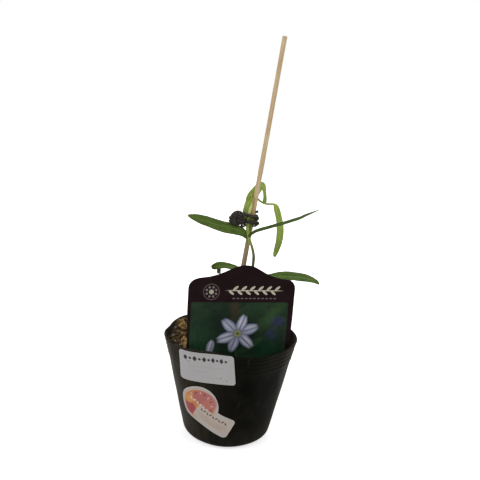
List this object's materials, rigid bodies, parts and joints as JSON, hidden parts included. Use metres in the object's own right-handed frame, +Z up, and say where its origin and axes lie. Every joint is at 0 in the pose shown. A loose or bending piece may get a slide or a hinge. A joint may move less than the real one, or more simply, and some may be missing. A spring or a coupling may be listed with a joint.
{
  "type": "potted clematis plant",
  "caption": "Young clematis plant tied to a cane in a soft black nursery pot of compost, with a printed plant label and stickers on the pot.",
  "frame": {"origin": "middle of the pot's flat base, on the surface it stands on", "axes": "+Z up; the front of the pot, with the label and stickers, faces -Y; +X to the right seen from the front"},
  "size_m": [0.1051, 0.0914, 0.2672],
  "materials": {
    "pot_plastic": "thin black film plastic, dull sheen",
    "compost": "loose dark potting mix of bark and fibre",
    "bamboo": "split cane, pale and fibrous",
    "stem": "soft green stem",
    "leaf_mature": "soft matt leaf with veins",
    "leaf_young": "fresh light green leaf with veins",
    "tie": "dull black coated wire",
    "label_print": "printed plastic card, dark maroon and green",
    "white_sticker": "white label paper with a plain dark bar",
    "orange_sticker": "coated paper, cream edge and orange and pink middle",
    "ochre_grain": "rough porous grain",
    "perlite": "white porous grain"
  },
  "bodies": {
    "root": {"pot": "pot_plastic", "compost": "compost", "cane": "bamboo", "stem": "stem", "leaf_lower_left": "leaf_mature", "leaf_lower_right": "leaf_mature", "leaf_middle_left": "leaf_mature", "leaf_middle_right": "leaf_mature", "leaf_upper_left": "leaf_young", "leaf_upper_right": "leaf_young", "tie_wire": "tie", "plant_label": "label_print", "name_sticker": "white_sticker", "tab_sticker": "orange_sticker", "ochre_grain_1": "ochre_grain", "ochre_grain_2": "ochre_grain", "ochre_grain_3": "ochre_grain", "ochre_grain_4": "ochre_grain", "ochre_grain_5": "ochre_grain", "ochre_grain_6": "ochre_grain", "ochre_grain_7": "ochre_grain", "ochre_grain_8": "ochre_grain", "perlite_1": "perlite", "perlite_2": "perlite", "perlite_3": "perlite", "perlite_4": "perlite", "perlite_5": "perlite", "perlite_6": "perlite", "perlite_7": "perlite", "perlite_8": "perlite"}
  },
  "joints": []
}
